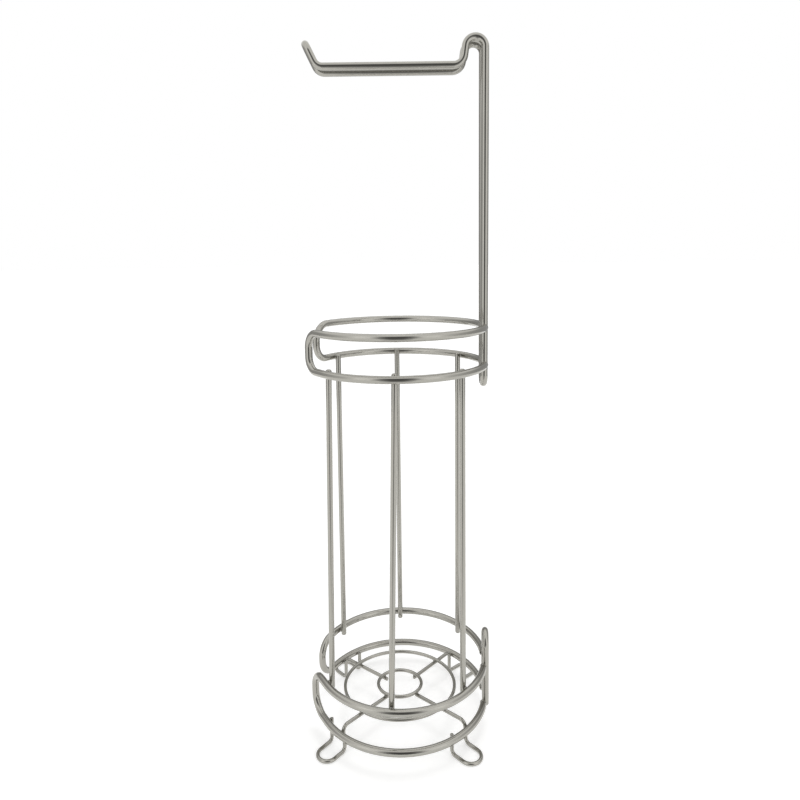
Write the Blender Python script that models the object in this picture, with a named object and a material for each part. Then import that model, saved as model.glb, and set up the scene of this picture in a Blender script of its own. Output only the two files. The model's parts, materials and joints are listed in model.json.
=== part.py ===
"""Free-standing toilet roll holder of welded satin nickel wire.

Metres, +Z up. The origin is on the floor, on the rings' axis. The arm points along -X, the upright
stands at +X, and -Y is the front. Every piece is round wire bent to shape: an arm and upright in one
closed loop, two banded rings, six rods, and a grille on four legs. Pieces that are welded in the real
stand lie a small weld gap apart here, so that each is a solid of its own.
"""
import math

import bmesh
import bpy
from mathutils import Vector

MM = 0.001

# Wire diameters, and the gap left where one wire is welded to another
THICK_WIRE = 6.2 * MM
ROD_WIRE = 4.8 * MM
LEG_WIRE = 3.2 * MM
GRILLE_WIRE = 3.0 * MM
WELD_GAP = 0.3 * MM

# Banded rings: centre-line radius, and the heights of the lower rails above the floor
RING_RADIUS = 75.0 * MM
LOWER_RAIL_SPACING = 34.5 * MM
UPPER_RAIL_SPACING = 31.6 * MM
LOWER_BAND_HEIGHT = 17.7 * MM
UPPER_BAND_HEIGHT = 321.8 * MM
UPPER_BAND_TILT = 0.011

# Left-hand U-bends: where each half stops short of -X round the ring, how far its tail runs on, and the
# bend radii on its upper and lower rail
UPPER_FRONT_BEND = (math.radians(37.0), 4.2 * MM, 12.5 * MM, 11.5 * MM)
UPPER_REAR_BEND = (math.radians(31.0), 0.3 * MM, 15.5 * MM, 13.0 * MM)
LOWER_FRONT_BEND = (math.radians(31.4), 5.8 * MM, 13.0 * MM, 15.0 * MM)
LOWER_REAR_BEND = (math.radians(30.3), 2.6 * MM, 14.0 * MM, 16.5 * MM)

# Arm, crook and upright, as centre-line sizes of one of the two parallel wires. The upright's foot lies a
# little inside the rings, and the arm turns up at ARM_END_INSET from the rings' left side.
ARM_HEIGHT = 567.0 * MM
ARM_END_INSET = 12.9 * MM
TIP_LENGTH = 21.8 * MM
TIP_LEAN = math.radians(25.7)
TIP_BEND_RADIUS = 8.0 * MM
ARM_BEND_RADIUS = 8.9 * MM
CROOK_RADIUS = 8.0 * MM
CROOK_RISE = 13.9 * MM
CROOK_THROAT = 18.0 * MM
ARM_PAIR_SPACING = 16.8 * MM
UPRIGHT_FOOT_INSET = 0.8 * MM
UPRIGHT_FOOT_DEGREES = -2.3
UPRIGHT_FOOT_SPACING = 15.5 * MM
UPRIGHT_FOOT_DROP = 17.3 * MM

# Hairpin that joins the four ends of the lower band. It stands a little outside the rings and to the front
# of the upright.
HAIRPIN_OUTSET = 1.4 * MM
HAIRPIN_SPACING = 18.0 * MM
HAIRPIN_DEGREES = -6.0
HAIRPIN_RISE = 29.3 * MM
HAIRPIN_DROP = 1.5 * MM

# Rods: angle of each one's top and foot round the ring, counted from +X, and how far they overrun
ROD_NAMES = ("rear_right", "rear_middle", "rear_left", "front_left", "front_middle", "front_right")
ROD_TOP_DEGREES = (35.6, 90.1, 142.4, 217.8, 268.4, 318.4)
ROD_FOOT_DEGREES = (36.6, 90.4, 143.7, 210.6, 263.1, 318.3)
ROD_TOP_OVERRUNS = (3.4 * MM, 4.2 * MM, 2.8 * MM, 2.5 * MM, 3.2 * MM, 2.2 * MM)
ROD_FOOT_OVERRUNS = (4.2 * MM, 4.2 * MM, 4.2 * MM, 6.0 * MM, 4.2 * MM, 4.2 * MM)
ROD_CROWN = 1.1 * MM
CROWN_WIDTH_SHARE = 0.62

# Grille and legs. The grille lies a little off the axis, away from the upright, and its rings are slightly
# oval: longer along X by GRILLE_OVAL and shorter along Y by as much.
GRILLE_OUTER_RADIUS = 48.6 * MM
GRILLE_INNER_RADIUS = 19.1 * MM
GRILLE_SHIFT = 1.6 * MM
GRILLE_OVAL = 1.027
GRILLE_RISE = 7.3 * MM
LEG_NAMES = ("rear_right", "rear_left", "front_left", "front_right")
LEG_DEGREES = (46.9, 141.4, 224.8, 319.4)
LEG_LEANS = (0.0, 0.0, 1.7, 1.4)
LEG_END_TURNS = (14.5, 14.5, 14.8, 13.3)
LEG_LOOP_TURNS = (14.5, 14.5, 11.6, 13.3)
LEG_SPLAYS = (0.0, 0.0, 2.2 * MM, 0.0)
LEG_TOE_TURNS = (0.0, 0.0, 10.5, 0.0)
FOOT_REACHES = (12.5 * MM, 12.5 * MM, 12.6 * MM, 12.5 * MM)
LEG_INSET = 2.5 * MM
LEG_SHOULDER_RADIUS = 5.0 * MM
LEG_ANKLE_RADIUS = 4.0 * MM
LEG_OVERRUN = 1.1 * MM
FOOT_FLAT = 0.2 * MM

# Fineness of the bends
STEPS_PER_TURN = 60
FINE_STEPS_PER_TURN = 24
SIDE_RESOLUTION = 2
SAME_POINT_DISTANCE = 0.01 * MM
SHARP_ANGLE = math.radians(60.0)

NICKEL_COLOUR = (0.62, 0.60, 0.56, 1.0)
NICKEL_ROUGHNESS = 0.3


def rail_heights(band_height, rail_spacing):
    """Heights of a band's upper and lower rail."""
    return band_height + rail_spacing, band_height


def around(radius, angle, height):
    return Vector((radius * math.cos(angle), radius * math.sin(angle), height))


def arc_points(radius, start, end, height, steps_per_turn=STEPS_PER_TURN):
    """Points of a level arc round the stand's axis, both ends included."""
    steps = max(2, round(abs(end - start) / math.tau * steps_per_turn))
    return [around(radius, start + (end - start) * i / steps, height) for i in range(steps + 1)]


def rounded_path(corners, radii):
    """A bent wire's centre line: straight runs between corners, each inner corner bent to its radius."""
    points = [corners[0]]
    for before, corner, after, radius in zip(corners, corners[1:], corners[2:], radii):
        inward = (before - corner).normalized()
        onward = (after - corner).normalized()
        turn = math.pi - inward.angle(onward)
        centre = corner + (inward + onward).normalized() * radius / math.cos(turn / 2)
        first = corner + inward * radius * math.tan(turn / 2) - centre
        axis = inward.cross(first).normalized()
        steps = max(2, round(turn / math.tau * FINE_STEPS_PER_TURN))
        for i in range(steps + 1):
            angle = turn * i / steps
            point = centre + first * math.cos(angle) + axis.cross(first) * math.sin(angle)
            if (point - points[-1]).length > SAME_POINT_DISTANCE:
                points.append(point)
    if (corners[-1] - points[-1]).length > SAME_POINT_DISTANCE:
        points.append(corners[-1])
    return points


def wire(name, points, diameter, closed=False, widths=None):
    """A wire that follows points, as a bevelled curve with filled ends. widths thin it at its points."""
    curve = bpy.data.curves.new(name, "CURVE")
    curve.dimensions = "3D"
    curve.twist_mode = "MINIMUM"
    curve.bevel_depth = diameter / 2
    curve.bevel_resolution = SIDE_RESOLUTION
    curve.use_fill_caps = not closed
    curve.render_resolution_u = 0
    spline = curve.splines.new("POLY")
    spline.points.add(len(points) - 1)
    spline.use_cyclic_u = closed
    for spline_point, point, width in zip(spline.points, points, widths or [1.0] * len(points)):
        spline_point.co = (*point, 1.0)
        spline_point.radius = width
    curve.materials.append(nickel(name))
    piece = bpy.data.objects.new(name, curve)
    collection.objects.link(piece)
    piece.parent = stand
    return piece


def nickel(piece_name):
    material = bpy.data.materials.new(f"{piece_name}_satin_nickel")
    material.use_nodes = True
    shader = material.node_tree.nodes["Principled BSDF"]
    shader.inputs["Base Color"].default_value = NICKEL_COLOUR
    shader.inputs["Metallic"].default_value = 1.0
    shader.inputs["Roughness"].default_value = NICKEL_ROUGHNESS
    material.diffuse_color = NICKEL_COLOUR
    return material


def crook_top():
    return ARM_HEIGHT + CROOK_RISE + CROOK_RADIUS


def limb_slope():
    """Slope of the short limb that rises from the arm's root and runs tangent into the crook."""
    centre_offset = CROOK_THROAT - CROOK_RADIUS
    distance = math.hypot(centre_offset, CROOK_RISE)
    return math.atan2(CROOK_RISE, centre_offset) + math.asin(CROOK_RADIUS / distance)


def upright_foot():
    """Height of the centre of the U-bend that closes the two upright wires."""
    return UPPER_BAND_HEIGHT - UPRIGHT_FOOT_DROP + UPRIGHT_FOOT_SPACING / 2


def upright_wire(side, height):
    """Where the upright's front (side -1) or rear (side +1) wire stands at a height."""
    top = Vector((RING_RADIUS, side * ARM_PAIR_SPACING / 2, crook_top() - CROOK_RADIUS))
    foot_angle = math.radians(UPRIGHT_FOOT_DEGREES)
    across = around(1.0, foot_angle + math.pi / 2, 0.0)
    foot = around(RING_RADIUS - UPRIGHT_FOOT_INSET, foot_angle, upright_foot()) + across * side * UPRIGHT_FOOT_SPACING / 2
    return top.lerp(foot, (top.z - height) / (top.z - foot.z))


def make_arm_and_upright():
    side = ARM_PAIR_SPACING / 2
    lean = Vector((-math.sin(TIP_LEAN), 0.0, math.cos(TIP_LEAN)))
    arm_end = Vector((ARM_END_INSET - RING_RADIUS, -side, ARM_HEIGHT))
    arm_root_x = RING_RADIUS - CROOK_THROAT
    limb_top_x = arm_root_x + (CROOK_RISE + CROOK_RADIUS) / math.tan(limb_slope())
    near = [
        arm_end + lean * (TIP_LENGTH - side),
        arm_end,
        Vector((arm_root_x, -side, ARM_HEIGHT)),
        Vector((limb_top_x, -side, crook_top())),
        Vector((RING_RADIUS, -side, crook_top())),
        Vector((RING_RADIUS, -side, crook_top() - CROOK_RADIUS)),
    ]
    bends = [TIP_BEND_RADIUS, ARM_BEND_RADIUS, CROOK_RADIUS, CROOK_RADIUS]
    near_line = rounded_path(near, bends)
    far_line = [Vector((p.x, -p.y, p.z)) for p in reversed(near_line)]
    near_foot, far_foot = (upright_wire(wire_side, upright_foot()) for wire_side in (-1, 1))
    foot_across = (far_foot - near_foot) / 2
    steps = FINE_STEPS_PER_TURN // 2
    foot_bend = []
    tip_bend = []
    for i in range(1, steps):
        angle = math.pi * i / steps
        foot_bend.append(near_foot + foot_across * (1.0 - math.cos(angle))
                         - Vector((0.0, 0.0, foot_across.length * math.sin(angle))))
        tip_bend.append(near[0] + Vector((0.0, side + side * math.cos(angle), 0.0))
                        + lean * side * math.sin(angle))
    line = near_line + [near_foot] + foot_bend + [far_foot] + far_line + tip_bend
    return wire("arm_and_upright", line, THICK_WIRE, closed=True)


def rail_end_angle(wire_radius, wire_angle):
    """Where a rail stops short of the upright or hairpin wire that it is welded to."""
    return wire_angle + math.asin((THICK_WIRE / 2 + WELD_GAP) / wire_radius)


def make_band_half(name, rails, side, end_angles, left_bend, tilt=0.0):
    """One wire: round on the upper rail, down in a U-bend at the left, and back on the lower rail.

    side is -1 for the front half and +1 for the rear half. tilt lifts the rear and lowers the front.
    """
    top, bottom = rails
    stop, tail, top_bend, low_bend = left_bend
    bend_angle = side * (math.pi - stop)
    onward = around(tail + (top - bottom) / 2, bend_angle + side * math.pi / 2, 0.0)
    upper_arc = arc_points(RING_RADIUS, side * end_angles[0], bend_angle, top)
    lower_arc = arc_points(RING_RADIUS, bend_angle, side * end_angles[1], bottom)
    bend = [upper_arc[-1], upper_arc[-1] + onward, lower_arc[0] + onward, lower_arc[0]]
    points = upper_arc[:-1] + rounded_path(bend, [top_bend, low_bend]) + lower_arc[1:]
    for point in points:
        point.z += tilt * point.y
    return wire(name, points, THICK_WIRE)


def hairpin_radius():
    return RING_RADIUS + HAIRPIN_OUTSET


def hairpin_leg_angles():
    """Angles round the ring of the hairpin's front and rear legs."""
    half = math.asin(HAIRPIN_SPACING / 2 / hairpin_radius())
    middle = math.radians(HAIRPIN_DEGREES)
    return middle - half, middle + half


def make_hairpin(rails):
    side = HAIRPIN_SPACING / 2
    top_rail, bottom_rail = rails
    foot = bottom_rail - HAIRPIN_DROP
    top = top_rail + HAIRPIN_RISE - THICK_WIRE / 2
    front, rear = hairpin_leg_angles()
    corners = [around(hairpin_radius(), angle, height)
               for angle, height in ((front, foot), (front, top), (rear, top), (rear, foot))]
    return wire("band_hairpin", rounded_path(corners, [side, side]), THICK_WIRE)


def make_rod(name, top_degrees, foot_degrees, top_overrun, foot_overrun):
    radius = RING_RADIUS - THICK_WIRE / 2 - WELD_GAP - ROD_WIRE / 2
    top = around(radius, math.radians(top_degrees), UPPER_BAND_HEIGHT + top_overrun)
    foot_height = LOWER_BAND_HEIGHT + LOWER_RAIL_SPACING - foot_overrun
    foot = around(radius, math.radians(foot_degrees), foot_height)
    crown = (top - foot).normalized() * ROD_CROWN
    points = [foot, foot + crown, top - crown, top]
    return wire(name, points, ROD_WIRE, widths=[CROWN_WIDTH_SHARE, 1.0, 1.0, CROWN_WIDTH_SHARE])


def make_ring(name, radius):
    height = LOWER_BAND_HEIGHT + GRILLE_RISE
    points = [Vector((point.x * GRILLE_OVAL - GRILLE_SHIFT, point.y / GRILLE_OVAL, point.z))
              for point in arc_points(radius, 0.0, math.tau, height)[:-1]]
    return wire(name, points, GRILLE_WIRE, closed=True)


def make_leg(name, degrees, lean, end_turn, loop_turn, splay, toe_turn, foot_reach):
    """A thin wire from the inner ring out and down inside the lower rail, round its foot and up again.

    The turns are from the spoke, to the end at the rail and to the loop on the floor.
    """
    grille_height = LOWER_BAND_HEIGHT + GRILLE_RISE
    spoke_height = grille_height - GRILLE_WIRE / 2 - WELD_GAP - LEG_WIRE / 2
    floor_height = LEG_WIRE / 2 - FOOT_FLAT
    stand_radius = RING_RADIUS - THICK_WIRE / 2 - WELD_GAP - LEG_WIRE / 2
    spoke_angle = math.radians(degrees)
    down_angle = math.radians(degrees + lean)
    up_angle = math.radians(degrees - loop_turn)
    down = around(stand_radius, down_angle, floor_height)
    up = around(stand_radius + splay, up_angle, floor_height)
    half_width = (up - down).length / 2
    outward = around(1.0, (down_angle + up_angle) / 2 + math.radians(toe_turn), 0.0)
    toe = outward * (foot_reach + half_width)
    toe_radius = half_width * math.cos(math.radians(toe_turn))
    end_height = LOWER_BAND_HEIGHT + LEG_OVERRUN
    corners = [
        around(GRILLE_INNER_RADIUS - LEG_INSET, spoke_angle, spoke_height),
        around(stand_radius, spoke_angle, spoke_height),
        down,
        down + toe,
        up + toe,
        up,
        around(stand_radius, math.radians(degrees - end_turn), end_height),
    ]
    radii = [LEG_SHOULDER_RADIUS, LEG_ANKLE_RADIUS, toe_radius, toe_radius, LEG_ANKLE_RADIUS]
    return cut_flat_at_floor(wire(name, rounded_path(corners, radii), LEG_WIRE))


def cut_flat_at_floor(bent):
    """The foot loop's underside is flat where it stands, so the wire becomes a mesh cut at the floor."""
    name = bent.name
    bpy.context.view_layer.update()
    evaluated = bent.evaluated_get(bpy.context.evaluated_depsgraph_get())
    mesh = bpy.data.meshes.new_from_object(evaluated)
    work = bmesh.new()
    work.from_mesh(mesh)
    bmesh.ops.remove_doubles(work, verts=work.verts, dist=SAME_POINT_DISTANCE)
    whole = work.verts[:] + work.edges[:] + work.faces[:]
    bmesh.ops.bisect_plane(work, geom=whole, plane_co=(0.0, 0.0, 0.0), plane_no=(0.0, 0.0, -1.0),
                           clear_outer=True)
    rim = [edge for edge in work.edges if edge.is_boundary]
    bmesh.ops.holes_fill(work, edges=rim, sides=0)
    bmesh.ops.recalc_face_normals(work, faces=work.faces)
    work.to_mesh(mesh)
    work.free()
    mesh.shade_smooth()
    mesh.set_sharp_from_angle(angle=SHARP_ANGLE)
    world = bent.matrix_world.copy()
    bpy.data.objects.remove(bent)
    piece = bpy.data.objects.new(name, mesh)
    collection.objects.link(piece)
    piece.parent = stand
    piece.matrix_world = world
    return piece


for old in list(bpy.data.objects):
    bpy.data.objects.remove(old)

collection = bpy.data.collections.new("toilet_roll_holder")
bpy.context.scene.collection.children.link(collection)

stand = bpy.data.objects.new("stand", None)
collection.objects.link(stand)

make_arm_and_upright()

upper_rails = rail_heights(UPPER_BAND_HEIGHT, UPPER_RAIL_SPACING)
for half_name, half_side, half_bend in (("front", -1, UPPER_FRONT_BEND), ("rear", 1, UPPER_REAR_BEND)):
    ends = []
    for rail_height in upper_rails:
        met = upright_wire(half_side, rail_height)
        ends.append(rail_end_angle(math.hypot(met.x, met.y), half_side * math.atan2(met.y, met.x)))
    make_band_half(f"upper_band_{half_name}", upper_rails, half_side, ends, half_bend, UPPER_BAND_TILT)

lower_rails = rail_heights(LOWER_BAND_HEIGHT, LOWER_RAIL_SPACING)
front_leg, rear_leg = hairpin_leg_angles()
front_ends = [rail_end_angle(hairpin_radius(), -front_leg)] * 2
rear_ends = [rail_end_angle(hairpin_radius(), rear_leg)] * 2
make_band_half("lower_band_front", lower_rails, -1, front_ends, LOWER_FRONT_BEND)
make_band_half("lower_band_rear", lower_rails, 1, rear_ends, LOWER_REAR_BEND)
make_hairpin(lower_rails)

for rod_name, *rod_sizes in zip(ROD_NAMES, ROD_TOP_DEGREES, ROD_FOOT_DEGREES, ROD_TOP_OVERRUNS, ROD_FOOT_OVERRUNS):
    make_rod(f"rod_{rod_name}", *rod_sizes)

make_ring("grille_outer_ring", GRILLE_OUTER_RADIUS)
make_ring("grille_inner_ring", GRILLE_INNER_RADIUS)
for leg_name, *leg_sizes in zip(LEG_NAMES, LEG_DEGREES, LEG_LEANS, LEG_END_TURNS, LEG_LOOP_TURNS, LEG_SPLAYS,
                                LEG_TOE_TURNS, FOOT_REACHES):
    make_leg(f"leg_{leg_name}", *leg_sizes)
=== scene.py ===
"""Looks for a free-standing toilet roll holder of welded satin nickel wire."""

import json
import math

import bmesh
import bpy
from mathutils import Matrix, Vector, noise

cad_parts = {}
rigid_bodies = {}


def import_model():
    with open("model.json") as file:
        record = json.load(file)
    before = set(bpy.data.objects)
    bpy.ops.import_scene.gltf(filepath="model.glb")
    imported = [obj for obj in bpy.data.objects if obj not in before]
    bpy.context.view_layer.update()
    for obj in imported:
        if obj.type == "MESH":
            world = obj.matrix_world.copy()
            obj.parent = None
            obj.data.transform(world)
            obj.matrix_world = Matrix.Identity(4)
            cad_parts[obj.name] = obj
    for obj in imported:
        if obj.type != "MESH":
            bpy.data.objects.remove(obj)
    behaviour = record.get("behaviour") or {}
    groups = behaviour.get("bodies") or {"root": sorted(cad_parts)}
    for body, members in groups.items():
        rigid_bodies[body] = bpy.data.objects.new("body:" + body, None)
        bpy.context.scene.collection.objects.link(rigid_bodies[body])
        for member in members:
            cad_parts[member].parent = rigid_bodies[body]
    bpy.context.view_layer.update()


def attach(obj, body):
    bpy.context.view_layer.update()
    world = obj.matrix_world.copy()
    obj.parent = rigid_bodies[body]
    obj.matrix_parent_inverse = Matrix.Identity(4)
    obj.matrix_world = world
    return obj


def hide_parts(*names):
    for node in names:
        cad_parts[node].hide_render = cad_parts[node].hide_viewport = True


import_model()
MM = 0.001

# Camera. It stands in front of the holder, a little above the cage, and looks slightly down.
# The view is framed lower than the lens points, as in the photograph.
CAMERA_PLACE = Vector((0.98 * MM, -541.0 * MM, 406.9 * MM))
CAMERA_PITCH = 0.1112
CAMERA_YAW = 0.0035
CAMERA_ROLL = -0.0136
SENSOR_WIDTH = 36.0
FOCAL_SHARE = 0.7895
LENS_DROP_SHARE = -0.0812

forward = Vector((math.sin(CAMERA_YAW) * math.cos(CAMERA_PITCH), math.cos(CAMERA_YAW) * math.cos(CAMERA_PITCH),
                  -math.sin(CAMERA_PITCH)))
level = Vector((math.cos(CAMERA_YAW), -math.sin(CAMERA_YAW), 0.0))
upward = level.cross(forward)
right = level * math.cos(CAMERA_ROLL) + upward * math.sin(CAMERA_ROLL)
upward = upward * math.cos(CAMERA_ROLL) - level * math.sin(CAMERA_ROLL)
camera_data = bpy.data.cameras.new("camera")
camera_data.sensor_width = SENSOR_WIDTH
camera_data.lens = SENSOR_WIDTH * FOCAL_SHARE
camera_data.shift_y = LENS_DROP_SHARE
camera = bpy.data.objects.new("camera", camera_data)
camera.matrix_world = Matrix.Translation(CAMERA_PLACE) @ Matrix((right, upward, -forward)).transposed().to_4x4()
bpy.context.scene.collection.objects.link(camera)
bpy.context.scene.camera = camera
bpy.context.scene.view_settings.view_transform = "Standard"


# Floor and world. A plain white studio sweep: it shows white to the lens and to the metal,
# while its own matt surface still takes the holder's faint shadow.
FLOOR_SIZE = 400.0
FLOOR_COLOUR = (0.80, 0.80, 0.795, 1.0)
FLOOR_GLOW = 0.45
SKY_FILL = 0.72


def seen_directly(nodes, links):
    """1 for rays from the lens and for mirror and glass rays, 0 for light that bounces off matt things."""
    rays = nodes.new("ShaderNodeLightPath")
    both = nodes.new("ShaderNodeMath")
    both.operation = "MAXIMUM"
    links.new(rays.outputs["Is Camera Ray"], both.inputs[0])
    links.new(rays.outputs["Is Glossy Ray"], both.inputs[1])
    every = nodes.new("ShaderNodeMath")
    every.operation = "MAXIMUM"
    links.new(both.outputs[0], every.inputs[0])
    links.new(rays.outputs["Is Transmission Ray"], every.inputs[1])
    return every.outputs[0]


floor_mesh = bmesh.new()
bmesh.ops.create_grid(floor_mesh, x_segments=1, y_segments=1, size=FLOOR_SIZE / 2)
floor_data = bpy.data.meshes.new("floor")
floor_mesh.to_mesh(floor_data)
floor_mesh.free()
floor = bpy.data.objects.new("floor", floor_data)
bpy.context.scene.collection.objects.link(floor)
floor_paint = bpy.data.materials.new("white_sweep")
floor_paint.use_nodes = True
nodes, links = floor_paint.node_tree.nodes, floor_paint.node_tree.links
nodes.clear()
matt = nodes.new("ShaderNodeBsdfDiffuse")
matt.inputs["Color"].default_value = FLOOR_COLOUR
glow = nodes.new("ShaderNodeEmission")
glow.inputs["Color"].default_value = (1.0, 1.0, 1.0, 1.0)
level_of_glow = nodes.new("ShaderNodeMath")
level_of_glow.operation = "MULTIPLY"
level_of_glow.inputs[1].default_value = FLOOR_GLOW
links.new(seen_directly(nodes, links), level_of_glow.inputs[0])
links.new(level_of_glow.outputs[0], glow.inputs["Strength"])
both_shaders = nodes.new("ShaderNodeAddShader")
links.new(matt.outputs[0], both_shaders.inputs[0])
links.new(glow.outputs[0], both_shaders.inputs[1])
floor_output = nodes.new("ShaderNodeOutputMaterial")
links.new(both_shaders.outputs[0], floor_output.inputs["Surface"])
floor_data.materials.append(floor_paint)

world = bpy.data.worlds.new("white_studio")
bpy.context.scene.world = world
world.use_nodes = True
nodes, links = world.node_tree.nodes, world.node_tree.links
nodes.clear()
fill = nodes.new("ShaderNodeBackground")
fill.inputs["Strength"].default_value = SKY_FILL
backdrop = nodes.new("ShaderNodeBackground")
backdrop.inputs["Color"].default_value = (1.0, 1.0, 1.0, 1.0)
backdrop.inputs["Strength"].default_value = 1.0
choose = nodes.new("ShaderNodeMixShader")
links.new(seen_directly(nodes, links), choose.inputs[0])
links.new(fill.outputs[0], choose.inputs[1])
links.new(backdrop.outputs[0], choose.inputs[2])
world_output = nodes.new("ShaderNodeOutputWorld")
links.new(choose.outputs[0], world_output.inputs["Surface"])


# Light tent. A dome of paper cards stands round the holder for its metal to mirror: bright ones at the
# front left and right and overhead, greyer ones behind, and a dark gap where the lens looks in. A grey
# card lies on the floor before the gap.
TENT_RADIUS = 1.4
TENT_TOP = 90
TENT_STEP = 5
# Grey of the cards by their angle from the gap, at eye level
CARD_GREYS = ((0, 0.13), (11, 0.14), (20, 0.40), (31, 1.20), (48, 1.34), (66, 0.88), (100, 0.56), (140, 0.42),
              (180, 0.34))
OVERHEAD_GREY = 1.12
OVERHEAD_FADE = 18
# The gap reaches GAP_TOP degrees high up to GAP_EDGE degrees aside, and the cards CARD_TOP from CARD_EDGE on
GAP_TOP = 46
GAP_EDGE = 20
CARD_TOP = 32
CARD_EDGE = 48
FLOOR_CARD_GREY = 0.30
FLOOR_CARD_NEAR = 0.22
FLOOR_CARD_FULL = 0.50
FLOOR_CARD_CORE = 7
FLOOR_CARD_SIDE = 22
FLOOR_CARD_TURN = 2
FLOOR_CARD_STEPS = 12
FLOOR_CARD_LIFT = 0.5 * MM


def card_grey(angle, height_angle):
    """Grey of the card at an angle from the gap, round either way, and at an angle above the floor."""
    for (start, grey), (end, next_grey) in zip(CARD_GREYS, CARD_GREYS[1:]):
        if start <= angle <= end:
            eye_level = grey + (next_grey - grey) * (angle - start) / (end - start)
    beside = min(max((angle - GAP_EDGE) / (CARD_EDGE - GAP_EDGE), 0.0), 1.0)
    top = GAP_TOP + (CARD_TOP - GAP_TOP) * beside
    share = min(max((height_angle - top) / OVERHEAD_FADE, 0.0), 1.0)
    return eye_level + (OVERHEAD_GREY - eye_level) * share * share * (3.0 - 2.0 * share)


tent_mesh = bmesh.new()
shade = tent_mesh.verts.layers.float.new("card_grey")
rims = []
for height_angle in range(0, TENT_TOP, TENT_STEP):
    rim = []
    for turn in range(-180, 180, TENT_STEP):
        out = TENT_RADIUS * math.cos(math.radians(height_angle))
        vert = tent_mesh.verts.new((out * math.sin(math.radians(turn)), -out * math.cos(math.radians(turn)),
                                    TENT_RADIUS * math.sin(math.radians(height_angle))))
        vert[shade] = card_grey(abs(turn), height_angle)
        rim.append(vert)
    rims.append(rim)
for lower, upper in zip(rims, rims[1:]):
    for i in range(len(lower)):
        tent_mesh.faces.new((lower[i - 1], upper[i - 1], upper[i], lower[i]))
tent_mesh.faces.new(rims[-1])
rows = []
for step in range(FLOOR_CARD_STEPS + 1):
    out = FLOOR_CARD_NEAR + (TENT_RADIUS - FLOOR_CARD_NEAR) * step / FLOOR_CARD_STEPS
    fade = min((out - FLOOR_CARD_NEAR) / (FLOOR_CARD_FULL - FLOOR_CARD_NEAR), 1.0)
    row = []
    for turn in range(-FLOOR_CARD_SIDE, FLOOR_CARD_SIDE + 1, FLOOR_CARD_TURN):
        across = min((FLOOR_CARD_SIDE - abs(turn)) / (FLOOR_CARD_SIDE - FLOOR_CARD_CORE), 1.0)
        vert = tent_mesh.verts.new((out * math.sin(math.radians(turn)), -out * math.cos(math.radians(turn)),
                                    FLOOR_CARD_LIFT))
        vert[shade] = 1.0 + (FLOOR_CARD_GREY - 1.0) * fade * across
        row.append(vert)
    rows.append(row)
for near_row, far_row in zip(rows, rows[1:]):
    for i in range(len(near_row) - 1):
        tent_mesh.faces.new((near_row[i], near_row[i + 1], far_row[i + 1], far_row[i]))
tent_data = bpy.data.meshes.new("light_tent")
tent_mesh.to_mesh(tent_data)
tent_mesh.free()
tent = bpy.data.objects.new("light_tent", tent_data)
bpy.context.scene.collection.objects.link(tent)
tent_paper = bpy.data.materials.new("tent_cards")
tent_paper.use_nodes = True
nodes, links = tent_paper.node_tree.nodes, tent_paper.node_tree.links
nodes.clear()
grey = nodes.new("ShaderNodeAttribute")
grey.attribute_name = "card_grey"
paper = nodes.new("ShaderNodeEmission")
links.new(grey.outputs["Fac"], paper.inputs["Strength"])
tent_output = nodes.new("ShaderNodeOutputMaterial")
links.new(paper.outputs[0], tent_output.inputs["Surface"])
tent_data.materials.append(tent_paper)
tent.visible_camera = False
tent.visible_diffuse = False
tent.visible_shadow = False
tent.visible_transmission = False


# Lamps. Broad, soft and far off: one at the front left, one at the front right and one overhead, so
# that the whole sweep is lit alike and the wires get small soft highlights.
LAMPS = (("left_lamp", (-0.80, -0.75, 0.70), 0.40), ("right_lamp", (0.85, -0.70, 0.62), 0.34),
         ("top_lamp", (0.10, 0.15, 1.00), 0.50))
LAMP_SPREAD = math.radians(22.0)
for lamp_name, direction, strength in LAMPS:
    lamp_data = bpy.data.lights.new(lamp_name, "SUN")
    lamp_data.energy = strength
    lamp_data.angle = LAMP_SPREAD
    lamp = bpy.data.objects.new(lamp_name, lamp_data)
    lamp.location = direction
    lamp.rotation_euler = Vector(direction).to_track_quat("Z", "Y").to_euler()
    bpy.context.scene.collection.objects.link(lamp)


# Arm and upright. One closed loop of thick round wire, satin nickel plated: it makes the turned-up tip,
# the arm's two wires, the crook and the two upright wires, and closes under the upper band.
THICK_WIRE = 6.2 * MM
RING_RADIUS = 75.0 * MM
UPPER_BAND_HEIGHT = 321.8 * MM
ARM_HEIGHT = 567.0 * MM
ARM_END_INSET = 12.9 * MM
TIP_LENGTH = 21.8 * MM
TIP_LEAN = math.radians(25.7)
TIP_BEND_RADIUS = 8.0 * MM
ARM_BEND_RADIUS = 8.9 * MM
CROOK_RADIUS = 8.0 * MM
CROOK_RISE = 13.9 * MM
CROOK_THROAT = 18.0 * MM
ARM_PAIR_SPACING = 16.8 * MM
UPRIGHT_FOOT_INSET = 0.8 * MM
UPRIGHT_FOOT_DEGREES = -2.3
UPRIGHT_FOOT_SPACING = 15.5 * MM
UPRIGHT_FOOT_DROP = 17.3 * MM
WIRE_SIDES = 28
END_STEPS = 5
BEND_STEP = math.radians(5.0)
SAME_POINT = 0.01 * MM
NICKEL = (0.395, 0.385, 0.350)
THICK_ROUGHNESS = 0.12
THICK_GRAIN = 0.006 * MM
# The plate's patches, darkest and palest, and its tone at a weld, as shares of the colour
DARK_PATCH_SHARE = 0.93
PALE_PATCH_SHARE = 1.06
WELD_TONE_SHARE = 0.45
PATCH_SMOOTHER = 0.05
PATCH_ROUGHER = 0.07
WELD_ROUGHER = 0.15
# Each mark in the plate: its stretch along the wire, its scale and its detail
DRAWN_LINES = (0.02, 2600.0, 3.0)
PATCHES = (0.35, 160.0, 2.0)
FINE_GRAIN = (1.0, 5200.0, 2.0)
DRAWN_LINES_STRENGTH = 0.07
FINE_GRAIN_STRENGTH = 0.03


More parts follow.
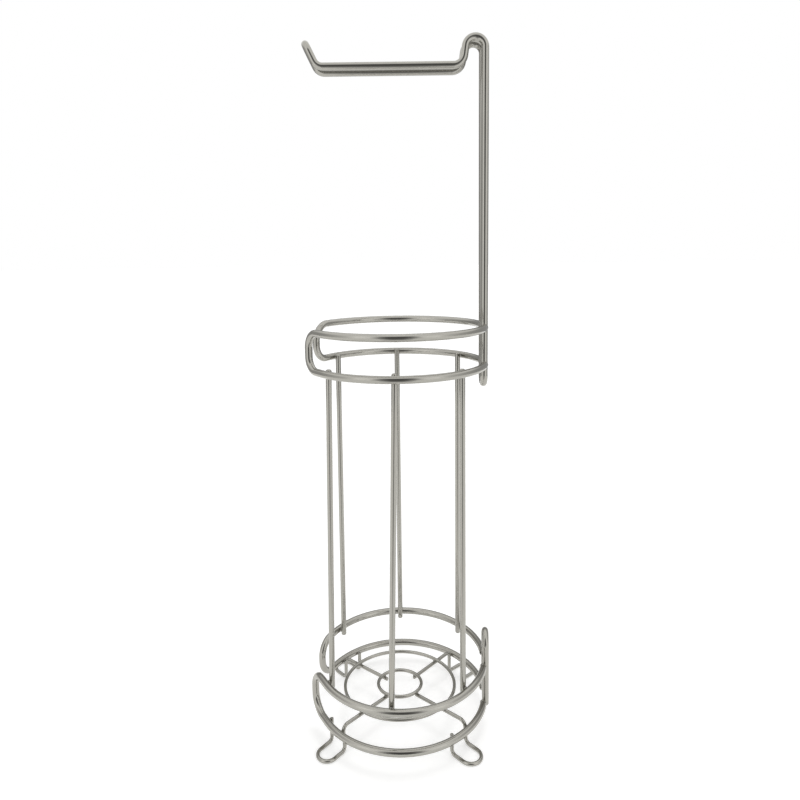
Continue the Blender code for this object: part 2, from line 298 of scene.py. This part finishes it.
def around(radius, angle, height):
    return Vector((radius * math.cos(angle), radius * math.sin(angle), height))


def bent_line(corners, radii):
    """Centre line of a bent wire: straight between its corners, each inner corner bent to its radius."""
    points = [corners[0]]
    for before, corner, after, radius in zip(corners, corners[1:], corners[2:], radii):
        inward = (before - corner).normalized()
        onward = (after - corner).normalized()
        turn = math.pi - inward.angle(onward)
        centre = corner + (inward + onward).normalized() * radius / math.cos(turn / 2)
        spoke = corner + inward * radius * math.tan(turn / 2) - centre
        axis = inward.cross(spoke).normalized()
        steps = max(2, math.ceil(turn / BEND_STEP))
        for i in range(steps + 1):
            angle = turn * i / steps
            point = centre + spoke * math.cos(angle) + axis.cross(spoke) * math.sin(angle)
            if (point - points[-1]).length > SAME_POINT:
                points.append(point)
    if (corners[-1] - points[-1]).length > SAME_POINT:
        points.append(corners[-1])
    return points


def half_turn(start, across, away):
    """The points between the two ends of a U-bend, from start to start + across, bulging towards away."""
    steps = math.ceil(math.pi / BEND_STEP)
    radius = across / 2
    return [start + radius - radius * math.cos(math.pi * i / steps)
            + away * radius.length * math.sin(math.pi * i / steps) for i in range(1, steps)]


def satin_nickel(name, colour, roughness, grain):
    """Satin nickel plate: fine lines drawn along the wire, a faint grain, and patches a little duller."""
    material = bpy.data.materials.new(name)
    material.use_nodes = True
    nodes, links = material.node_tree.nodes, material.node_tree.links
    metal = nodes["Principled BSDF"]
    metal.inputs["Metallic"].default_value = 1.0
    run = nodes.new("ShaderNodeAttribute")
    run.attribute_name = "wire_run"

    def marks(stretch_along, scale, detail):
        mapping = nodes.new("ShaderNodeMapping")
        mapping.inputs["Scale"].default_value = (1.0, 1.0, stretch_along)
        links.new(run.outputs["Vector"], mapping.inputs["Vector"])
        texture = nodes.new("ShaderNodeTexNoise")
        texture.inputs["Scale"].default_value = scale
        texture.inputs["Detail"].default_value = detail
        links.new(mapping.outputs["Vector"], texture.inputs["Vector"])
        return texture.outputs["Fac"]

    drawn_lines = marks(*DRAWN_LINES)
    patches = marks(*PATCHES)
    fine_grain = marks(*FINE_GRAIN)
    tone = nodes.new("ShaderNodeMix")
    tone.data_type = "RGBA"
    tone.inputs["A"].default_value = (*[c * DARK_PATCH_SHARE for c in colour], 1.0)
    tone.inputs["B"].default_value = (*[c * PALE_PATCH_SHARE for c in colour], 1.0)
    links.new(patches, tone.inputs["Factor"])
    welded = nodes.new("ShaderNodeAttribute")
    welded.attribute_name = "weld_heat"
    dulled = nodes.new("ShaderNodeMix")
    dulled.data_type = "RGBA"
    dulled.inputs["B"].default_value = (*[c * WELD_TONE_SHARE for c in colour], 1.0)
    links.new(welded.outputs["Fac"], dulled.inputs["Factor"])
    links.new(tone.outputs["Result"], dulled.inputs["A"])
    links.new(dulled.outputs["Result"], metal.inputs["Base Color"])
    gloss = nodes.new("ShaderNodeMapRange")
    gloss.inputs["To Min"].default_value = roughness - PATCH_SMOOTHER
    gloss.inputs["To Max"].default_value = roughness + PATCH_ROUGHER
    links.new(patches, gloss.inputs["Value"])
    rougher = nodes.new("ShaderNodeMath")
    rougher.operation = "MULTIPLY_ADD"
    rougher.inputs[1].default_value = WELD_ROUGHER
    links.new(welded.outputs["Fac"], rougher.inputs[0])
    links.new(gloss.outputs["Result"], rougher.inputs[2])
    links.new(rougher.outputs[0], metal.inputs["Roughness"])
    lines_bump = nodes.new("ShaderNodeBump")
    lines_bump.inputs["Strength"].default_value = DRAWN_LINES_STRENGTH
    lines_bump.inputs["Distance"].default_value = grain
    links.new(drawn_lines, lines_bump.inputs["Height"])
    grain_bump = nodes.new("ShaderNodeBump")
    grain_bump.inputs["Strength"].default_value = FINE_GRAIN_STRENGTH
    grain_bump.inputs["Distance"].default_value = grain
    links.new(fine_grain, grain_bump.inputs["Height"])
    links.new(lines_bump.outputs["Normal"], grain_bump.inputs["Normal"])
    links.new(grain_bump.outputs["Normal"], metal.inputs["Normal"])
    return material


def draw_wire(name, line, diameter, material, closed=False, rounding=0.0, widths=None):
    """A round wire along a line of points. Its ends are crowned by rounding, and widths thin or swell it."""
    count = len(line)
    radius = diameter / 2
    tangents = []
    for i in range(count):
        before = line[i - 1] if i or closed else line[0]
        after = line[(i + 1) % count] if i < count - 1 or closed else line[-1]
        into = (line[i] - before).normalized() if (line[i] - before).length > 0 else Vector()
        out = (after - line[i]).normalized() if (after - line[i]).length > 0 else Vector()
        tangents.append((into + out).normalized())
    side = tangents[0].orthogonal().normalized()
    sides = [side]
    for i in range(1, count):
        side = tangents[i - 1].rotation_difference(tangents[i]) @ side
        sides.append((side - tangents[i] * side.dot(tangents[i])).normalized())
    twist = 0.0
    if closed:
        last = tangents[-1].rotation_difference(tangents[0]) @ sides[-1]
        twist = math.atan2(last.cross(sides[0]).dot(tangents[0]), last.dot(sides[0]))
    work = bmesh.new()
    along = work.verts.layers.float_vector.new("wire_run")

    def add_ring(centre, tangent, first, width, run_length):
        second = tangent.cross(first)
        ring = []
        for k in range(WIRE_SIDES):
            angle = math.tau * k / WIRE_SIDES
            outward = first * math.cos(angle) + second * math.sin(angle)
            vert = work.verts.new(centre + outward * width)
            vert[along] = (radius * math.cos(angle), radius * math.sin(angle), run_length)
            ring.append(vert)
        return ring

    rings = []
    run_length = 0.0
    for i in range(count):
        if i:
            run_length += (line[i] - line[i - 1]).length
        turned = Matrix.Rotation(twist * i / count, 3, tangents[i]) @ sides[i]
        width = radius * (widths[i] if widths else 1.0)
        ends = []
        if not closed and i in (0, count - 1) and rounding:
            outward = -tangents[i] if i == 0 else tangents[i]
            for step in range(1, END_STEPS + 1):
                angle = math.pi / 2 * step / END_STEPS
                centre = line[i] + outward * rounding * (math.sin(angle) - 1.0)
                ends.append(add_ring(centre, tangents[i], turned, width - rounding * (1.0 - math.cos(angle)),
                                     run_length))
            base = add_ring(line[i] - outward * rounding, tangents[i], turned, width, run_length)
            rings += ends[::-1] + [base] if i == 0 else [base] + ends
        else:
            rings.append(add_ring(line[i], tangents[i], turned, width, run_length))
    pairs = list(zip(rings, rings[1:])) + ([(rings[-1], rings[0])] if closed else [])
    for lower, upper in pairs:
        for k in range(WIRE_SIDES):
            m = (k + 1) % WIRE_SIDES
            work.faces.new((lower[k], lower[m], upper[m], upper[k]))
    if not closed:
        work.faces.new(rings[0][::-1])
        work.faces.new(rings[-1])
    data = bpy.data.meshes.new(name)
    work.to_mesh(data)
    work.free()
    data.shade_smooth()
    data.materials.append(material)
    piece = bpy.data.objects.new(name, data)
    bpy.context.scene.collection.objects.link(piece)
    return piece


def fit(piece, slot, *cad_nodes):
    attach(piece, "root")
    if cad_nodes:
        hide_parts(*cad_nodes)
    return piece


thick_nickel = satin_nickel("satin_nickel_thick_wire", NICKEL, THICK_ROUGHNESS, THICK_GRAIN)

crook_top = ARM_HEIGHT + CROOK_RISE + CROOK_RADIUS
upright_foot = UPPER_BAND_HEIGHT - UPRIGHT_FOOT_DROP + UPRIGHT_FOOT_SPACING / 2
half_pair = ARM_PAIR_SPACING / 2
lean = Vector((-math.sin(TIP_LEAN), 0.0, math.cos(TIP_LEAN)))
limb_slope = (math.atan2(CROOK_RISE, CROOK_THROAT - CROOK_RADIUS)
              + math.asin(CROOK_RADIUS / math.hypot(CROOK_THROAT - CROOK_RADIUS, CROOK_RISE)))
arm_root = RING_RADIUS - CROOK_THROAT
limb_top = arm_root + (CROOK_RISE + CROOK_RADIUS) / math.tan(limb_slope)
arm_end = Vector((ARM_END_INSET - RING_RADIUS, -half_pair, ARM_HEIGHT))
near_wire = bent_line(
    [arm_end + lean * (TIP_LENGTH - half_pair), arm_end, Vector((arm_root, -half_pair, ARM_HEIGHT)),
     Vector((limb_top, -half_pair, crook_top)), Vector((RING_RADIUS, -half_pair, crook_top)),
     Vector((RING_RADIUS, -half_pair, crook_top - CROOK_RADIUS))],
    [TIP_BEND_RADIUS, ARM_BEND_RADIUS, CROOK_RADIUS, CROOK_RADIUS])
far_wire = [Vector((p.x, -p.y, p.z)) for p in reversed(near_wire)]
foot_angle = math.radians(UPRIGHT_FOOT_DEGREES)
foot_middle = around(RING_RADIUS - UPRIGHT_FOOT_INSET, foot_angle, upright_foot)
foot_across = around(UPRIGHT_FOOT_SPACING / 2, foot_angle + math.pi / 2, 0.0)
near_wire.append(foot_middle - foot_across)
far_wire.insert(0, foot_middle + foot_across)
foot_bend = half_turn(near_wire[-1], foot_across * 2.0, Vector((0.0, 0.0, -1.0)))
tip_bend = half_turn(far_wire[-1], near_wire[0] - far_wire[-1], lean)
arm = draw_wire("arm_and_upright_wire", near_wire + foot_bend + far_wire + tip_bend, THICK_WIRE, thick_nickel,
                closed=True)
fit(arm, "thick_wire", "arm_and_upright")


# Bands. Each is two half rings of the same thick wire. A half starts butt-welded to the upright or the
# hairpin, runs round on its upper rail, turns down in a U-bend at the left and runs back below.
LOWER_BAND_HEIGHT = 17.7 * MM
LOWER_RAIL_SPACING = 34.5 * MM
UPPER_RAIL_SPACING = 31.6 * MM
UPPER_BAND_TILT = 0.011
HAIRPIN_OUTSET = 1.4 * MM
HAIRPIN_RADIUS = RING_RADIUS + HAIRPIN_OUTSET
HAIRPIN_SPACING = 18.0 * MM
HAIRPIN_DEGREES = -6.0
WELD_GAP = 0.3 * MM
RAIL_ROUNDING = 0.3 * MM
ARC_STEP = math.radians(3.0)
# Each left-hand bend: its stop short of -X, its tail, and its radii above and below
UPPER_FRONT_BEND = (math.radians(37.0), 4.2 * MM, 12.5 * MM, 11.5 * MM)
UPPER_REAR_BEND = (math.radians(31.0), 0.3 * MM, 15.5 * MM, 13.0 * MM)
LOWER_FRONT_BEND = (math.radians(31.4), 5.8 * MM, 13.0 * MM, 15.0 * MM)
LOWER_REAR_BEND = (math.radians(30.3), 2.6 * MM, 14.0 * MM, 16.5 * MM)


def level_arc(radius, start, end, height):
    steps = max(2, math.ceil(abs(end - start) / ARC_STEP))
    return [around(radius, start + (end - start) * i / steps, height) for i in range(steps + 1)]


def upright_wire(side, height):
    """Where the upright's front (side -1) or rear (side +1) wire stands at a height."""
    top = Vector((RING_RADIUS, side * half_pair, crook_top - CROOK_RADIUS))
    return top.lerp(foot_middle + foot_across * side, (top.z - height) / (top.z - upright_foot))


def rail_start(wire_radius, wire_angle):
    """Angle at which a rail meets the upright or hairpin wire that it is welded to."""
    return wire_angle + math.asin((THICK_WIRE / 2 + WELD_GAP) / wire_radius)


def band_half(name, height, rail_spacing, side, starts, left_bend, tilt=0.0):
    stop, tail, top_bend, low_bend = left_bend
    bend_angle = side * (math.pi - stop)
    onward = around(tail + rail_spacing / 2, bend_angle + side * math.pi / 2, 0.0)
    top = level_arc(RING_RADIUS, side * starts[0], bend_angle, height + rail_spacing)
    bottom = level_arc(RING_RADIUS, bend_angle, side * starts[1], height)
    bend = [top[-1], top[-1] + onward, bottom[0] + onward, bottom[0]]
    line = top[:-1] + bent_line(bend, [top_bend, low_bend]) + bottom[1:]
    line = [Vector((p.x, p.y, p.z + tilt * p.y)) for p in line]
    half = draw_wire(name + "_wire", line, THICK_WIRE, thick_nickel, rounding=RAIL_ROUNDING)
    return fit(half, "thick_wire", name)


upper = [UPPER_BAND_HEIGHT, UPPER_RAIL_SPACING]
lower = [LOWER_BAND_HEIGHT, LOWER_RAIL_SPACING]
upright_starts = {}
for side in (-1, 1):
    met = [upright_wire(side, height) for height in (sum(upper), UPPER_BAND_HEIGHT)]
    upright_starts[side] = [rail_start(math.hypot(p.x, p.y), side * math.atan2(p.y, p.x)) for p in met]
pin_half_angle = math.asin(HAIRPIN_SPACING / 2 / HAIRPIN_RADIUS)
pin_front = math.radians(HAIRPIN_DEGREES) - pin_half_angle
pin_rear = math.radians(HAIRPIN_DEGREES) + pin_half_angle
front_starts = [rail_start(HAIRPIN_RADIUS, -pin_front)] * 2
rear_starts = [rail_start(HAIRPIN_RADIUS, pin_rear)] * 2
band_half("upper_band_front", *upper, -1, upright_starts[-1], UPPER_FRONT_BEND, UPPER_BAND_TILT)
band_half("upper_band_rear", *upper, 1, upright_starts[1], UPPER_REAR_BEND, UPPER_BAND_TILT)
band_half("lower_band_front", *lower, -1, front_starts, LOWER_FRONT_BEND)
band_half("lower_band_rear", *lower, 1, rear_starts, LOWER_REAR_BEND)


# Hairpin. A short thick wire bent to an upside-down U at the right, under the upright: the four ends
# of the lower band are welded to its two legs.
HAIRPIN_RISE = 29.3 * MM
HAIRPIN_DROP = 1.5 * MM
HAIRPIN_ROUNDING = 0.5 * MM
hairpin_foot = LOWER_BAND_HEIGHT - HAIRPIN_DROP
hairpin_top = LOWER_BAND_HEIGHT + LOWER_RAIL_SPACING + HAIRPIN_RISE - THICK_WIRE / 2
half_pin = HAIRPIN_SPACING / 2
pin_corners = ((pin_front, hairpin_foot), (pin_front, hairpin_top),
               (pin_rear, hairpin_top), (pin_rear, hairpin_foot))
pin_line = bent_line([around(HAIRPIN_RADIUS, angle, height) for angle, height in pin_corners],
                     [half_pin, half_pin])
hairpin = draw_wire("band_hairpin_wire", pin_line, THICK_WIRE, thick_nickel, rounding=HAIRPIN_ROUNDING)
fit(hairpin, "thick_wire", "band_hairpin")


# Rods. Six straight rods, a little thinner, stand inside the rings from band to band. Their ends are
# cropped and tumbled, so they are softly crowned.
ROD_WIRE = 4.8 * MM
ROD_CROWN = 1.5 * MM
ROD_NAMES = ("rear_right", "rear_middle", "rear_left", "front_left", "front_middle", "front_right")
ROD_TOP_DEGREES = (35.6, 90.1, 142.4, 217.8, 268.4, 318.4)
ROD_FOOT_DEGREES = (36.6, 90.4, 143.7, 210.6, 263.1, 318.3)
ROD_TOP_OVERRUNS = (3.4 * MM, 4.2 * MM, 2.8 * MM, 2.5 * MM, 3.2 * MM, 2.2 * MM)
ROD_FOOT_OVERRUNS = (4.2 * MM, 4.2 * MM, 4.2 * MM, 6.0 * MM, 4.2 * MM, 4.2 * MM)
ROD_PIECES = 60
ROD_ROUGHNESS = 0.135
ROD_GRAIN = 0.006 * MM
rod_nickel = satin_nickel("satin_nickel_rod", NICKEL, ROD_ROUGHNESS, ROD_GRAIN)
rod_radius = RING_RADIUS - THICK_WIRE / 2 - WELD_GAP - ROD_WIRE / 2
for rod_name, top_degrees, foot_degrees, top_overrun, foot_overrun in zip(
        ROD_NAMES, ROD_TOP_DEGREES, ROD_FOOT_DEGREES, ROD_TOP_OVERRUNS, ROD_FOOT_OVERRUNS):
    rod_top = around(rod_radius, math.radians(top_degrees), UPPER_BAND_HEIGHT + top_overrun)
    rod_foot = around(rod_radius, math.radians(foot_degrees),
                      LOWER_BAND_HEIGHT + LOWER_RAIL_SPACING - foot_overrun)
    rod_line = [rod_foot.lerp(rod_top, i / ROD_PIECES) for i in range(ROD_PIECES + 1)]
    rod = draw_wire(f"rod_{rod_name}_wire", rod_line, ROD_WIRE, rod_nickel, rounding=ROD_CROWN)
    fit(rod, "rod", f"rod_{rod_name}")


# Grille. Two thin wire rings, bent slightly oval, lie across the legs' spokes, and a stored roll stands
# on them. Each is a closed ring, spot-welded to the four spokes.
GRILLE_WIRE = 3.0 * MM
GRILLE_OUTER_RADIUS = 48.6 * MM
GRILLE_INNER_RADIUS = 19.1 * MM
GRILLE_SHIFT = 1.6 * MM
GRILLE_OVAL = 1.027
GRILLE_RISE = 7.3 * MM
THIN_TONE_SHARE = 0.97
THIN_ROUGHNESS = 0.15
THIN_GRAIN = 0.005 * MM
grille_height = LOWER_BAND_HEIGHT + GRILLE_RISE
thin_nickel = satin_nickel("satin_nickel_thin_wire", [c * THIN_TONE_SHARE for c in NICKEL], THIN_ROUGHNESS,
                           THIN_GRAIN)
for ring_name, ring_radius in (("grille_outer_ring", GRILLE_OUTER_RADIUS),
                               ("grille_inner_ring", GRILLE_INNER_RADIUS)):
    ring_line = [Vector((point.x * GRILLE_OVAL - GRILLE_SHIFT, point.y / GRILLE_OVAL, point.z))
                 for point in level_arc(ring_radius, 0.0, math.tau, grille_height)[:-1]]
    ring = draw_wire(ring_name + "_wire", ring_line, GRILLE_WIRE, thin_nickel, closed=True)
    fit(ring, "thin_wire", ring_name)


# Legs. Each is one thin wire: a spoke under the rings, down inside the lower rail, round a flat foot loop
# on the floor, and up again to a weld on the rail.
LEG_WIRE = 3.2 * MM
LEG_NAMES = ("rear_right", "rear_left", "front_left", "front_right")
LEG_DEGREES = (46.9, 141.4, 224.8, 319.4)
LEG_LEANS = (0.0, 0.0, 1.7, 1.4)
LEG_END_TURNS = (14.5, 14.5, 14.8, 13.3)
LEG_LOOP_TURNS = (14.5, 14.5, 11.6, 13.3)
LEG_SPLAYS = (0.0, 0.0, 2.2 * MM, 0.0)
LEG_TOE_TURNS = (0.0, 0.0, 10.5, 0.0)
FOOT_REACHES = (12.5 * MM, 12.5 * MM, 12.6 * MM, 12.5 * MM)
LEG_INSET = 2.5 * MM
LEG_SHOULDER_RADIUS = 5.0 * MM
LEG_ANKLE_RADIUS = 4.0 * MM
LEG_OVERRUN = 1.1 * MM
LEG_ROUNDING = 0.6 * MM
FOOT_FLAT = 0.2 * MM
leg_radius = RING_RADIUS - THICK_WIRE / 2 - WELD_GAP - LEG_WIRE / 2
spoke_height = grille_height - GRILLE_WIRE / 2 - WELD_GAP - LEG_WIRE / 2
for leg_name, leg_degrees, leg_lean, end_turn, loop_turn, splay, toe_turn, foot_reach in zip(
        LEG_NAMES, LEG_DEGREES, LEG_LEANS, LEG_END_TURNS, LEG_LOOP_TURNS, LEG_SPLAYS, LEG_TOE_TURNS,
        FOOT_REACHES):
    spoke_angle = math.radians(leg_degrees)
    down_angle = math.radians(leg_degrees + leg_lean)
    up_angle = math.radians(leg_degrees - loop_turn)
    down = around(leg_radius, down_angle, LEG_WIRE / 2 - FOOT_FLAT)
    up = around(leg_radius + splay, up_angle, LEG_WIRE / 2 - FOOT_FLAT)
    half_width = (up - down).length / 2
    toe_angle = (down_angle + up_angle) / 2 + math.radians(toe_turn)
    toe = around(1.0, toe_angle, 0.0) * (foot_reach + half_width)
    toe_radius = half_width * math.cos(math.radians(toe_turn))
    leg = draw_wire(f"leg_{leg_name}_wire", bent_line(
        [around(GRILLE_INNER_RADIUS - LEG_INSET, spoke_angle, spoke_height),
         around(leg_radius, spoke_angle, spoke_height), down, down + toe, up + toe, up,
         around(leg_radius, math.radians(leg_degrees - end_turn), LOWER_BAND_HEIGHT + LEG_OVERRUN)],
        [LEG_SHOULDER_RADIUS, LEG_ANKLE_RADIUS, toe_radius, toe_radius, LEG_ANKLE_RADIUS]),
        LEG_WIRE, thin_nickel, rounding=LEG_ROUNDING)
    for vert in leg.data.vertices:
        vert.co.z = max(vert.co.z, 0.0)
    fit(leg, "thin_wire", f"leg_{leg_name}")


# Welds. Where two wires cross, a small flat bead of melted metal is squeezed out between them.
# Where a rail ends against the upright or the hairpin, a fillet runs round its end.
ROD_BEAD = Vector((2.3, 2.0, 1.0)) * MM
LEG_BEAD = Vector((1.3, 1.2, 0.7)) * MM
GRILLE_BEAD = Vector((1.5, 1.5, 0.7)) * MM
BEAD_SEGMENTS = 18
BEAD_RINGS = 12
BEAD_LUMP_SHARE = 0.16
BEAD_LUMP_SCALE = 900.0
FILLET_WIRE = 0.9 * MM
FILLET_SET_IN = 0.3 * MM
FILLET_RADIUS = THICK_WIRE / 2 - FILLET_SET_IN
FILLET_POINTS = 36
FILLET_LAP_SHARE = 0.8
FILLET_LUMP_SHARE = 0.25
FILLET_LUMP_SCALE = 700.0
HEAT_REACH = 5.5 * MM
HEAT_PEAK = 0.38
HEAT_EVENNESS = 1.4
HEAT_PATCH_SCALE = 400.0
weld_points = []


def weld_beads(name, slot, material, size, places):
    """Flat lumpy beads at the places, each given by its point, the wire's direction and the way to its mate."""
    work = bmesh.new()
    for centre, along, towards in places:
        across = towards.cross(along).normalized()
        frame_matrix = Matrix((along, across, towards)).transposed().to_4x4()
        bead = bmesh.ops.create_uvsphere(
            work, u_segments=BEAD_SEGMENTS, v_segments=BEAD_RINGS, radius=1.0,
            matrix=Matrix.Translation(centre) @ frame_matrix @ Matrix.Diagonal((*size, 1.0)))
        for vert in bead["verts"]:
            lump = 1.0 + BEAD_LUMP_SHARE * noise.noise(vert.co * BEAD_LUMP_SCALE)
            vert.co = centre + (vert.co - centre) * lump
        weld_points.append(centre)
    data = bpy.data.meshes.new(name)
    work.to_mesh(data)
    work.free()
    data.shade_smooth()
    data.materials.append(material)
    beads = bpy.data.objects.new(name, data)
    bpy.context.scene.collection.objects.link(beads)
    return fit(beads, slot)


UP = Vector((0.0, 0.0, 1.0))
seam_radius = RING_RADIUS - THICK_WIRE / 2 - WELD_GAP / 2
rod_places = []
for top_degrees, foot_degrees in zip(ROD_TOP_DEGREES, ROD_FOOT_DEGREES):
    for degrees, height in ((top_degrees, UPPER_BAND_HEIGHT),
                            (foot_degrees, LOWER_BAND_HEIGHT + LOWER_RAIL_SPACING)):
        place = around(seam_radius, math.radians(degrees), height)
        if height == UPPER_BAND_HEIGHT:
            place.z += UPPER_BAND_TILT * place.y
        rod_places.append((place, UP, around(1.0, math.radians(degrees), 0.0)))
weld_beads("rod_welds", "rod", rod_nickel, ROD_BEAD, rod_places)

leg_places = []
ring_places = []
for leg_degrees, end_turn in zip(LEG_DEGREES, LEG_END_TURNS):
    for degrees in (leg_degrees, leg_degrees - end_turn):
        out = around(1.0, math.radians(degrees), 0.0)
        leg_places.append((out * seam_radius + UP * LOWER_BAND_HEIGHT, UP, out))
    out = around(1.0, math.radians(leg_degrees), 0.0)
    for ring_radius in (GRILLE_OUTER_RADIUS, GRILLE_INNER_RADIUS):
        # The point where the spoke passes under the oval: reach solves the ellipse's equation along out
        squeezed = Vector((out.x / GRILLE_OVAL, out.y * GRILLE_OVAL))
        half_b = GRILLE_SHIFT / GRILLE_OVAL * squeezed.x
        rest = (GRILLE_SHIFT / GRILLE_OVAL) ** 2 - ring_radius ** 2
        reach = (math.sqrt(half_b ** 2 - squeezed.length_squared * rest) - half_b) / squeezed.length_squared
        ring_places.append((out * reach + UP * (grille_height - GRILLE_WIRE / 2 - WELD_GAP / 2), out, UP))
weld_beads("leg_welds", "thin_wire", thin_nickel, LEG_BEAD, leg_places)
weld_beads("grille_welds", "thin_wire", thin_nickel, GRILLE_BEAD, ring_places)


def end_fillet(name, end_angle, height, wire_foot, material):
    """A fillet round a rail's end, lapped onto the side of the wire that it meets."""
    centre = around(RING_RADIUS, end_angle, height)
    out = around(1.0, end_angle, 0.0)
    onward = UP.cross(out) * (-1.0 if end_angle > 0.0 else 1.0)
    to_wire = wire_foot - centre
    ahead, aside = to_wire.dot(onward), to_wire.dot(out)
    line = []
    for i in range(FILLET_POINTS):
        angle = math.tau * i / FILLET_POINTS
        offset = FILLET_RADIUS * math.cos(angle)
        reach = max(min((offset - aside) / (THICK_WIRE / 2), FILLET_LAP_SHARE), -FILLET_LAP_SHARE)
        shift = ahead - THICK_WIRE / 2 * math.sqrt(1.0 - reach * reach)
        line.append(centre + out * offset + UP * (FILLET_RADIUS * math.sin(angle)) + onward * shift)
    widths = [1.0 + FILLET_LUMP_SHARE * noise.noise(point * FILLET_LUMP_SCALE) for point in line]
    weld_points.append(centre + onward * ahead / 2)
    return fit(draw_wire(name, line, FILLET_WIRE, material, closed=True, widths=widths), "thick_wire")


for side, place_name in ((-1, "front"), (1, "rear")):
    for rail_name, start, height in (("top", upright_starts[side][0], UPPER_BAND_HEIGHT + UPPER_RAIL_SPACING),
                                     ("low", upright_starts[side][1], UPPER_BAND_HEIGHT)):
        lifted = height + UPPER_BAND_TILT * RING_RADIUS * math.sin(side * start)
        end_fillet(f"upper_{place_name}_{rail_name}_weld", side * start, lifted,
                   upright_wire(side, height), thick_nickel)
    pin_angle, pin_starts = (pin_front, front_starts) if side < 0 else (pin_rear, rear_starts)
    for rail_name, start, height in (("top", pin_starts[0], LOWER_BAND_HEIGHT + LOWER_RAIL_SPACING),
                                     ("low", pin_starts[1], LOWER_BAND_HEIGHT)):
        end_fillet(f"lower_{place_name}_{rail_name}_weld", side * start, height,
                   around(HAIRPIN_RADIUS, pin_angle, 0.0), thick_nickel)

# The plate is tinted and dulled near each weld, in uneven patches
for piece in list(bpy.data.objects):
    if piece.type != "MESH" or not piece.data.materials:
        continue
    if not piece.data.materials[0].name.startswith("satin_nickel"):
        continue
    heat = piece.data.attributes.new("weld_heat", "FLOAT", "POINT")
    for vert in piece.data.vertices:
        distance = min((vert.co - point).length for point in weld_points)
        near = max(1.0 - distance / HEAT_REACH, 0.0)
        unevenness = HEAT_EVENNESS + noise.noise(vert.co * HEAT_PATCH_SCALE)
        heat.data[vert.index].value = min(HEAT_PEAK * near * near * unevenness, 1.0)
